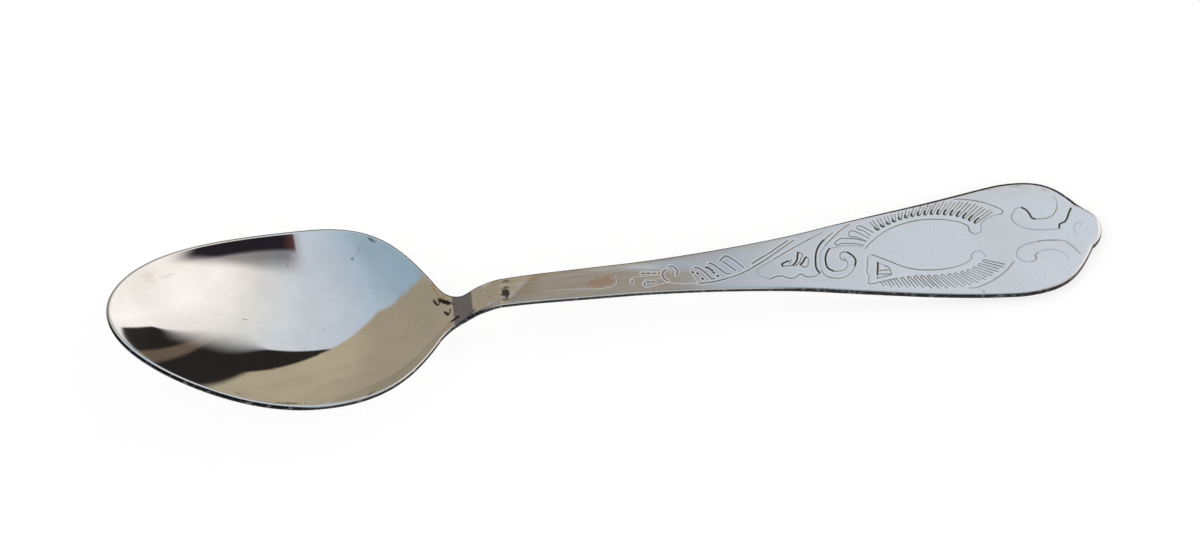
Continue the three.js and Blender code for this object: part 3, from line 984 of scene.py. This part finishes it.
# Patterns of the polish: how many to the metre, detail, and for some a stretch along the spoon and a turn
CLOUDS = (120, 4)
GRAIN = (900, 2)
RAGGED_BORDERS = (1400, 2)
MOTTLING = (2600, 1)
EDGE_WEAR = (1100, 3)
ROLLED_STREAKS = (3000, 2, 0.015)
LONG_SCRATCHES = (260, 3, 0.06)
SLANTED_SCRATCHES = (420, 2, 0.05, 0.6)
SPECKS = 420
NOISE_ROUGHNESS = 0.6
BUMP_DISTANCE = 0.00005

# How the polish varies: colour and roughness as parts of the plain metal's, and what marks add
PALER = 1.04
DULLER = 0.93
LEAST_ROUGH = 0.8
MOST_ROUGH = 1.25
SCRATCH_ROUGH = 0.3
CUT_ROUGH = 0.15
TARNISH_ROUGH = 0.25
SCRATCH_RELIEF = 0.25
GRAIN_RELIEF = 0.15
LONG_SHARE = 0.6
SLANTED_SHARE = 0.5

# The share of each colour where it is strongest
GREY_SHARE = 0.9
STREAK_SHARE = 0.28
MOTTLED_SHARE = 0.1
STAMPED_MOTTLED = 0.14
SPECK_SHARE = 0.5
LINE_HIGHLIGHT_SHARE = 0.8
DEEP_SHARE = 0.95
FINE_SHARE = 0.82

# Stamped lines: how far from the middle their colour is full and ends, and the painted highlight beside
# them
DEEP_REACH = (0.1, 0.24)
FINE_REACH = (0.04, 0.16)
FAINT_FULL = 0.03
FAINT_END_ON_STEM = 0.12
FAINT_END_ON_PLATE = 0.17
FAINT_RELIEF = 0.4
LINE_HIGHLIGHT_INSIDE = (0.16, 0.26)
LINE_HIGHLIGHT_OUTSIDE = (0.28, 0.48)
PANEL_FADE = (75, 89)
PANEL_FAINTEST = 0.25


class MetalTree(Tree):
    """The nodes of a polished metal, with the places and patterns that its finish is made of."""

    def __init__(self, tree):
        super().__init__(tree)
        self.place = self.node("ShaderNodeTexCoord")["Object"]
        x, y, _ = self.split(self.place)
        self.along = x / MM - TIP_X
        self.across = y / MM
        self.upper = self.attribute("upper_face").ease(0.3, 0.8)
        self.clouds = self.noise(*CLOUDS)
        self.lengthwise = self.noise(*LONG_SCRATCHES)
        self.ragged = self.noise(*RAGGED_BORDERS).ease(0.3, 0.7, -0.35, 0.35)

    def attribute(self, label):
        return self.node("ShaderNodeAttribute", {"attribute_name": label})["Fac"]

    def noise(self, scale, detail, stretch=1, turn=0.0):
        """Noise, drawn out along the spoon where stretch is under 1."""
        inputs = {"Vector": self.place, "Rotation": (0, 0, turn), "Scale": (stretch, 1, 1)}
        mapped = self.node("ShaderNodeMapping", inputs=inputs)["Vector"]
        inputs = {"Vector": mapped, "Scale": scale, "Detail": detail, "Roughness": NOISE_ROUGHNESS}
        return self.node("ShaderNodeTexNoise", inputs=inputs)["Fac"]

    def oval_patch(self, at, beside, half_length, half_breadth, turn):
        """An oval patch with a ragged border on the upper face."""
        inputs = {
            "Vector": self.place,
            "Location": from_tip(at, beside),
            "Rotation": (0, 0, math.radians(turn)),
            "Scale": (half_length * MM, half_breadth * MM, 1),
        }
        mapped = self.node("ShaderNodeMapping", {"vector_type": "TEXTURE"}, inputs)["Vector"]
        reach = self.node("ShaderNodeVectorMath", {"operation": "LENGTH"}, {0: mapped})["Value"]
        return (reach + self.ragged).fall(1, 0.25) * self.upper


def tinted(tree, base):
    """A base colour with the tints of the stretches along the spoon: a painted sheen, painted reflections
    and streaks of rolling.
    """
    along, across, upper = tree.along, tree.across, tree.upper
    # A painted sheen that brightens the plate from its start to its widest part
    base = tree.mix(along.ease(PLATE_START, PLATE_WIDEST), base, BRIGHT_SILVER)
    # A painted greyer reflection on the upper face where the shank runs into the plate
    grey = along.rise(*GREY_START) * along.fall(*GREY_END)
    base = tree.mix(grey * upper * GREY_SHARE, base, GREY_SILVER)
    # A painted warm reflection on the upper face of the shank, between slanted borders
    turned_back = (WARM_TURN_BACK - across).most(0.0)
    warm_from = along - across.most(WARM_SLANT_FROM) * WARM_START_SLANT + turned_back
    warm_to = along + across.most(WARM_END_FROM) * WARM_END_SLANT
    warm = warm_from.rise(*WARM_START) * warm_to.fall(*WARM_END)
    warm = warm * across.ease(*WARM_FAR_SIDE, 1.0, WARM_FAR_SHARE) * upper
    base = tree.mix(warm * tree.lengthwise.ease(0.35, 0.65, 0.84, 1.0), base, PAINTED_WARM_REFLECTION)
    # A painted darker reflection on the upper face of the neck's steep stretch
    neck_reflection = along.rise(*NECK_REFLECTION_START) * along.fall(*NECK_REFLECTION_END)
    base = tree.mix(neck_reflection * upper, base, PAINTED_NECK_REFLECTION)
    rolled = along.rise(*ROLLED_START) * along.fall(*ROLLED_END) * upper
    streaks = tree.noise(*ROLLED_STREAKS).ease(0.4, 0.66)
    return tree.mix(streaks * rolled * STREAK_SHARE, base, STREAK)


def lined(tree, base, line_colour):
    """A base colour with painted highlights beside the lines and with faint lines, the share of dark in the
    other lines, and their depth.
    """
    deep = tree.attribute("deep_line")
    fine = tree.attribute("fine_line")
    faint_end = tree.along.ease(PLATE_START, FLARE, FAINT_END_ON_STEM, FAINT_END_ON_PLATE)
    faint = tree.attribute("faint_line").fade(FAINT_FULL, faint_end)
    faint = faint * tree.along.ease(*PANEL_FADE, PANEL_FAINTEST, 1.0)
    nearest = deep.least(fine)
    # A painted highlight in a band beside the deep and fine lines
    line_highlight = nearest.ease(*LINE_HIGHLIGHT_INSIDE) * nearest.fade(*LINE_HIGHLIGHT_OUTSIDE)
    worn = tree.clouds.ease(0.35, 0.65, 0.6, 1.0)
    base = tree.mix(line_highlight * LINE_HIGHLIGHT_SHARE, base, BRIGHT_SILVER)
    base = tree.mix(faint * worn, base, line_colour)
    pressed = deep.ease(*DEEP_REACH, DEEP_SHARE, 0.0)
    pressed = pressed.most(fine.ease(*FINE_REACH, FINE_SHARE, 0.0) * worn)
    return base, pressed, pressed + faint * FAINT_RELIEF


def metal(name, stains_and_reflections, roughness, scratch_depth, line_colour=None):
    """Polished metal with clouded patches, fine scratches, specks, stained spots, painted reflections, a
    painted sheen, painted highlights, and cut edges dark with tarnish and painted shade.

    line_colour is that of the faint stamped lines, on the pieces that carry ornament."""
    material = bpy.data.materials.new(name)
    material.use_nodes = True
    tree = MetalTree(material.node_tree)
    grain = tree.noise(*GRAIN)
    slanted = tree.noise(*SLANTED_SCRATCHES)
    cells = tree.node("ShaderNodeTexVoronoi", inputs={"Vector": tree.place, "Scale": SPECKS})
    specks = cells["Distance"].fade(0.1, 0.16) * grain.ease(0.62, 0.7)
    scratches = tree.lengthwise.ease(0.55, 0.75) * LONG_SHARE + slanted.ease(0.62, 0.8) * SLANTED_SHARE

    paler = tuple(part * PALER for part in SILVER)
    duller = tuple(part * DULLER for part in SILVER)
    base = tinted(tree, tree.mix(tree.clouds.ease(0.3, 0.7), duller, paler))
    mottled = STAMPED_MOTTLED if line_colour else MOTTLED_SHARE
    base = tree.mix(tree.noise(*MOTTLING).ease(0.45, 0.65) * mottled, base, GREY_SILVER)
    # Stained spots, knocks and patches of painted tan reflection
    for colour, strength, *where in stains_and_reflections:
        base = tree.mix(tree.oval_patch(*where) * strength, base, colour)

    dark = specks * SPECK_SHARE
    height = scratches * SCRATCH_RELIEF + grain * GRAIN_RELIEF
    if line_colour:
        base, pressed, depth = lined(tree, base, line_colour)
        dark = dark.most(pressed)
        height = height - depth
    base = tree.mix(dark, base, TARNISH)
    # Painted shade on the cut edge, over its tarnished and worn metal
    cut = tree.attribute("cut_edge").ease(0.2, 0.45)
    shaded_edge_colour = tree.mix(tree.noise(*EDGE_WEAR).ease(0.5, 0.7), SHADED_CUT_METAL, WORN_EDGE)
    base = tree.mix(cut, base, shaded_edge_colour)

    rough = tree.clouds.ease(0.3, 0.75, roughness * LEAST_ROUGH, roughness * MOST_ROUGH)
    rough = rough + scratches * (roughness * SCRATCH_ROUGH) + cut * CUT_ROUGH + dark * TARNISH_ROUGH
    inputs = {"Strength": scratch_depth, "Distance": BUMP_DISTANCE, "Height": height}
    bump = tree.node("ShaderNodeBump", inputs=inputs)["Normal"]
    shader = material.node_tree.nodes["Principled BSDF"]
    for label, value in (("Base Color", base), ("Roughness", rough), ("Normal", bump), ("Metallic", 1.0)):
        tree.feed(shader.inputs[label], value)
    return material


# Stage

IMAGE_WIDTH = 1200
LENS_PIXELS = 3000
SENSOR_WIDTH = 36.0
PIXELS_PER_MM = 5.46
LOOK_AT = Vector((0, 0, -0.00055))
VIEW_ELEVATION = 54.0
VIEW_ROLL = 7.93
LEFT_SHIFT_PIXELS = 13.6
UP_SHIFT_PIXELS = 23.4


def add_camera():
    data = bpy.data.cameras.new("photo_view")
    data.sensor_width = SENSOR_WIDTH
    data.lens = LENS_PIXELS / IMAGE_WIDTH * SENSOR_WIDTH
    data.shift_x = -LEFT_SHIFT_PIXELS / IMAGE_WIDTH
    data.shift_y = UP_SHIFT_PIXELS / IMAGE_WIDTH
    camera = placed("photo_view", data)
    distance = LENS_PIXELS / PIXELS_PER_MM * MM
    tilt = Matrix.Rotation(math.radians(90 - VIEW_ELEVATION), 4, "X")
    roll = Matrix.Rotation(math.radians(-VIEW_ROLL), 4, "Z")
    back = Matrix.Translation((0, 0, distance))
    camera.matrix_world = Matrix.Translation(LOOK_AT) @ tilt @ back @ roll
    bpy.context.scene.camera = camera


def half_space(x, y, z, soft=0.012):
    """A half space through the spoon: the normal that points into it, and how soft its border is."""
    return tuple(Vector((x, y, z)).normalized()), soft


# The surroundings that the polish mirrors, as half spaces. X is along the spoon, Y away from the viewer
# and Z up.
WALL_LOW = half_space(-0.36, 1, -0.125, soft=0.02)
WALL_MIDDLE = half_space(-0.55, 1, -0.245, soft=0.02)
WALL_LEFT = half_space(-1, 1, -0.415, soft=0.02)
WALL_RIGHT = half_space(-2.2, 1, -0.65)
WALL_END_HIGH = half_space(-1.7, 1, -0.775)
WALL_END_LOW = half_space(-2.95, 1, 0.35)
DARK_BELOW = half_space(-0.25, 1, -1.06)
DARK_CORNER = half_space(-1.93, 1, 0.83, soft=0.004)
DARK_LEFT = half_space(-3.04, 1, 2.37, soft=0.002)
DARK_STRIPE = half_space(2.5, -1, -0.93)
FLAG_BELOW = half_space(0.33, -1, -0.17, soft=0.04)
FLAG_ABOVE = half_space(-0.33, 1, 0.42)
FLAG_HAZE = half_space(0.33, -1, -0.06, soft=0.09)
FLAG_TAIL = half_space(-0.1, -1, 0.18, soft=0.05)
FLAG_END = half_space(0.081, -0.022, -0.021, soft=0.015)
# The dark region's lower border is blurred over a stretch of X, and sharp elsewhere
BLUR_STARTS = (0.34, 0.43)
BLUR_ENDS = (0.49, 0.555)
BLUR = 0.14
SHARP = 0.007
STRIPE_REACH = (0.008, 0.018)
HAZE_END_SOFT = 0.07
HAZE_SHARE = 0.7
FLAG_FADE = (0.67, 0.72)
FLAG_END_REACH = (0.0, 0.1)
WALL_LIT_FROM = (-0.15, 0.1)
WALL_STREAKS = 6.0
WALL_COLOUR = (0.36, 0.31, 0.23)
WALL_COLOUR_LIT = (0.48, 0.41, 0.29)
DARK_COLOUR = (0.022, 0.019, 0.018)
STRIPE_COLOUR = (0.15, 0.11, 0.08)
FLAG_COLOUR = (0.02, 0.016, 0.022)
FLAG_END_COLOUR = (0.1, 0.045, 0.04)
SKY_STOPS = [
    (0.19, (0.31, 0.43, 0.53)),
    (0.40, (0.35, 0.455, 0.55)),
    (0.47, (0.47, 0.57, 0.67)),
    (0.53, (0.54, 0.61, 0.69)),
    (0.62, (0.62, 0.66, 0.73)),
    (0.68, (0.69, 0.72, 0.75)),
    (0.725, (0.78, 0.77, 0.74)),
    (0.76, (0.93, 0.88, 0.85)),
    (0.80, (1.10, 1.02, 0.98)),
    (0.86, (1.02, 0.95, 0.89)),
]
ROOM_LIGHT = (0.62, 0.62, 0.62)
WHITE = (1, 1, 1)


def add_surroundings():
    world = bpy.data.worlds.new("studio")
    bpy.context.scene.world = world
    world.use_nodes = True
    world.node_tree.nodes.clear()
    tree = Tree(world.node_tree)
    ray = tree.node("ShaderNodeTexCoord")["Generated"]
    x = tree.split(ray)[0]

    def side(space):
        inputs = {0: ray, 1: space[0]}
        return tree.node("ShaderNodeVectorMath", {"operation": "DOT_PRODUCT"}, inputs)["Value"]

    def within(space, soft=None):
        soft = space[1] if soft is None else soft
        return side(space).ease(-soft, soft)

    sky = tree.node("ShaderNodeValToRGB", {"stops": SKY_STOPS}, {"Fac": x * 0.5 + 0.5})["Color"]
    inputs = {"Vector": ray, "Scale": WALL_STREAKS, "Detail": 3.0}
    streak = tree.node("ShaderNodeTexNoise", inputs=inputs)["Fac"]
    wall = within(WALL_LOW) * within(WALL_MIDDLE) * within(WALL_LEFT) * within(WALL_END_LOW)
    wall = wall * within(WALL_RIGHT).most(within(WALL_END_HIGH))
    blur = x.ease(*BLUR_STARTS) * x.fade(*BLUR_ENDS) * BLUR + SHARP
    dark = within(DARK_BELOW, blur) * within(DARK_CORNER) * within(DARK_LEFT)
    stripe = side(DARK_STRIPE).size().fade(*STRIPE_REACH)
    haze = within(FLAG_HAZE) * within(FLAG_END, HAZE_END_SOFT) * HAZE_SHARE
    flag = (within(FLAG_BELOW) * within(FLAG_END)).most(haze)
    flag = flag * within(FLAG_TAIL) * within(FLAG_ABOVE) * x.fade(*FLAG_FADE)
    red = side(FLAG_END).fade(*FLAG_END_REACH)
    colour = tree.mix(flag, sky, tree.mix(red, FLAG_COLOUR, FLAG_END_COLOUR))
    colour = tree.mix(dark, colour, tree.mix(stripe, DARK_COLOUR, STRIPE_COLOUR))
    lit = x.ease(*WALL_LIT_FROM) * streak.ease(0.2, 0.6, 0.5, 1.0)
    colour = tree.mix(wall, colour, tree.mix(lit, WALL_COLOUR, WALL_COLOUR_LIT))
    path = tree.node("ShaderNodeLightPath")
    colour = tree.mix(path["Is Diffuse Ray"], colour, ROOM_LIGHT)
    colour = tree.mix(path["Is Camera Ray"], colour, WHITE)
    light = tree.node("ShaderNodeBackground", inputs={"Color": colour, "Strength": 1.0})["Background"]
    tree.node("ShaderNodeOutputWorld", inputs={"Surface": light})


FLOOR_HALF = 2.0
FLOOR_DROP = 0.05
FLOOR_GLOW = 0.66
FLOOR_COLOUR = (0.55, 0.55, 0.55, 1)


def add_floor():
    """A pale floor that glows a little where it is looked at and keeps the spoon's shadow."""
    mesh = bpy.data.meshes.new("floor")
    corners = [(-1, -1), (1, -1), (1, 1), (-1, 1)]
    points = [(x * FLOOR_HALF, y * FLOOR_HALF, -FLOOR_DROP * MM) for x, y in corners]
    mesh.from_pydata(points, [], [range(len(points))])
    floor = placed("floor", mesh)
    material = bpy.data.materials.new("pale_floor")
    material.use_nodes = True
    material.node_tree.nodes.clear()
    tree = Tree(material.node_tree)
    path = tree.node("ShaderNodeLightPath")
    seen = (path["Is Camera Ray"] + path["Is Glossy Ray"] + path["Is Transmission Ray"]).least(1.0)
    matt = tree.node("ShaderNodeBsdfDiffuse", inputs={"Color": FLOOR_COLOUR})["BSDF"]
    glow = tree.node("ShaderNodeEmission", inputs={"Strength": FLOOR_GLOW})["Emission"]
    lit = tree.node("ShaderNodeAddShader", inputs={0: matt, 1: glow})["Shader"]
    mixed = tree.node("ShaderNodeMixShader", inputs={0: seen, 1: matt, 2: lit})["Shader"]
    tree.node("ShaderNodeOutputMaterial", inputs={"Surface": mixed})
    mesh.materials.append(material)


def dress(piece, node):
    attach(piece, BODY)
    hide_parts(node)


bowl = bowl_piece()
bowl.data.materials.append(metal("bowl_mirror_polish", BOWL_STAINS_AND_REFLECTIONS, roughness=0.03, scratch_depth=0.02))
neck = shank_piece("neck_polished", HEEL, STEM_START, NECK_SPACING, NECK_STEPS)
neck.data.materials.append(metal("neck_warm_polish", NECK_STAINS_AND_REFLECTIONS, roughness=0.14, scratch_depth=0.1))
stem_blank = shank_piece("stem_stamped", STEM_START, PLATE_START, STAMPED_SPACING, STEM_STEPS)
stem_finish = metal(
    "stem_warm_polish", STEM_STAINS, roughness=0.18, scratch_depth=0.12, line_colour=BRIGHT_SILVER
)
plate_finish = metal(
    "plate_soft_polish", PLATE_STAINS, roughness=0.2, scratch_depth=0.12, line_colour=DULL_SILVER
)
stem, plate = stamped([(stem_blank, stem_finish), (plate_piece(), plate_finish)])
dress(bowl, "bowl")
dress(neck, "neck")
dress(stem, "stem")
dress(plate, "handle_plate")

add_surroundings()
add_floor()
add_camera()
bpy.context.scene.view_settings.view_transform = "Standard"
